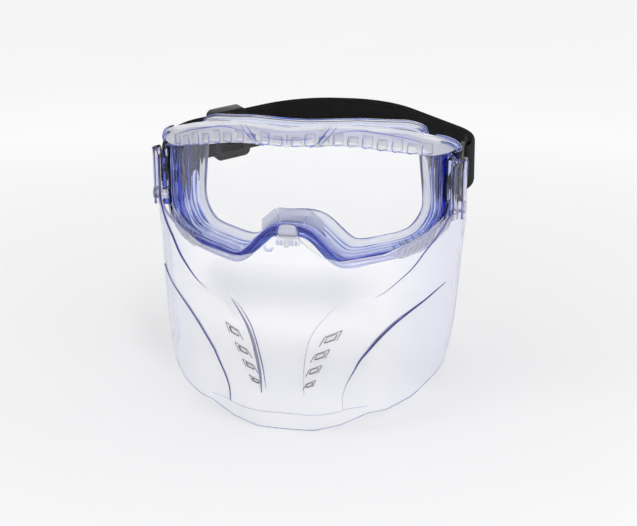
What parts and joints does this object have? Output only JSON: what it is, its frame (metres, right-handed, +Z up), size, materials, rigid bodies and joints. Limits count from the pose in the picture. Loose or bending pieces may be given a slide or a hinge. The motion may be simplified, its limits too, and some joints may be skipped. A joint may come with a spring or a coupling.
{
  "type": "safety goggle with lower face guard",
  "caption": "Clear safety goggle with a pale blue frame, black elastic head strap and slider, and a clear vented guard clipped on below that covers nose, mouth and chin.",
  "frame": {"origin": "middle of the face seat: the rear face of the soft seal on the symmetry plane, level with the two studs that hold the guard", "axes": "+Y points from the front of the goggle to the wearer's face, +Z up the wearer's head, +X towards the wearer's left, which is the right when looking at the front"},
  "size_m": [0.1804, 0.1642, 0.166],
  "materials": {
    "clear_polycarbonate": "polished",
    "clear_trim": "polished",
    "tinted_pvc": "polished",
    "soft_seal": "satin",
    "black_plastic": "satin",
    "black_webbing": "matte",
    "black_thread": "matte"
  },
  "bodies": {
    "goggle": {"lens": "clear_polycarbonate", "frame_rim": "tinted_pvc", "frame_walls": "tinted_pvc", "face_seal": "soft_seal", "nose_flaps": "soft_seal", "brow_cover": "clear_trim", "brow_baffle": "clear_trim", "lower_vent_right": "tinted_pvc", "lower_vent_left": "tinted_pvc", "nose_clip": "clear_trim", "side_post_right": "tinted_pvc", "side_post_left": "tinted_pvc", "pivot_pin_right": "tinted_pvc", "pivot_pin_left": "tinted_pvc", "side_bracket_right": "black_plastic", "side_bracket_left": "black_plastic"},
    "strap": {"strap_clip_right": "black_plastic", "strap_clip_left": "black_plastic", "strap_band": "black_webbing", "strap_fold_right": "black_webbing", "strap_fold_left": "black_webbing", "strap_sewn_end": "black_webbing", "strap_inner_layer": "black_webbing", "strap_stitching": "black_thread"},
    "slider": {"strap_slider": "black_plastic"},
    "guard": {"guard_shell": "clear_polycarbonate", "guard_nose_peg": "clear_polycarbonate", "guard_stud_right": "clear_polycarbonate", "guard_stud_left": "clear_polycarbonate"}
  },
  "joints": [
    {"name": "strap_swivel", "type": "hinge", "parent": "goggle", "child": "strap", "pos_m": [0, 0.005, 0.014], "axis": [1, 0, 0], "range_deg": [-12, 5]},
    {"name": "slider_adjust", "type": "slide", "parent": "strap", "child": "slider", "axis": [0.7292, 0.6726, 0.1259], "range_m": [-0.006, 0.018]},
    {"name": "guard_release", "type": "slide", "parent": "goggle", "child": "guard", "axis": [0, -1, 0], "range_m": [0, 0.075]}
  ]
}
